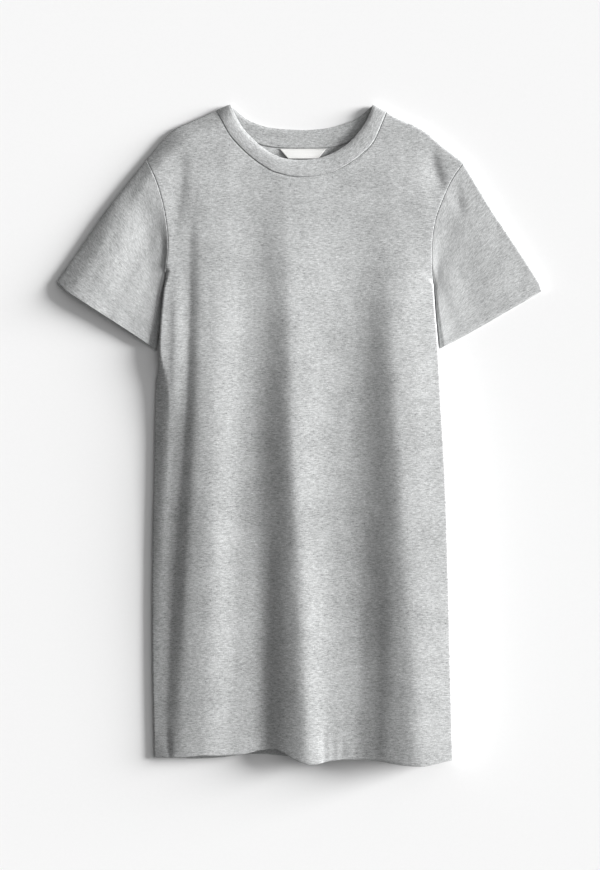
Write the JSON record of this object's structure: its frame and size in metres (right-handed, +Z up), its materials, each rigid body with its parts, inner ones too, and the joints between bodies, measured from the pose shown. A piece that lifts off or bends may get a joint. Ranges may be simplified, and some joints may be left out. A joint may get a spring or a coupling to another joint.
{
  "type": "t-shirt dress",
  "caption": "Short-sleeved crew-neck T-shirt dress in heather grey jersey, laid flat with soft long folds, open hem, cuffs and neck.",
  "frame": {"origin": "under the middle of the laid garment's outline, on the surface that it lies on", "axes": "+X to the right of the laid garment as seen from above, +Y up the garment from hem to neck, +Z up from the surface"},
  "size_m": [0.6505, 0.8809, 0.0368],
  "materials": {
    "jersey": "heather grey cotton jersey, matt, melange streaks",
    "neckband_jersey": "the same jersey, doubled, matt",
    "woven_label": "blank white satin weave"
  },
  "bodies": {
    "root": {"front": "jersey", "back": "jersey", "sleeve_left": "jersey", "sleeve_right": "jersey", "neckband": "neckband_jersey", "label": "woven_label"}
  },
  "joints": []
}
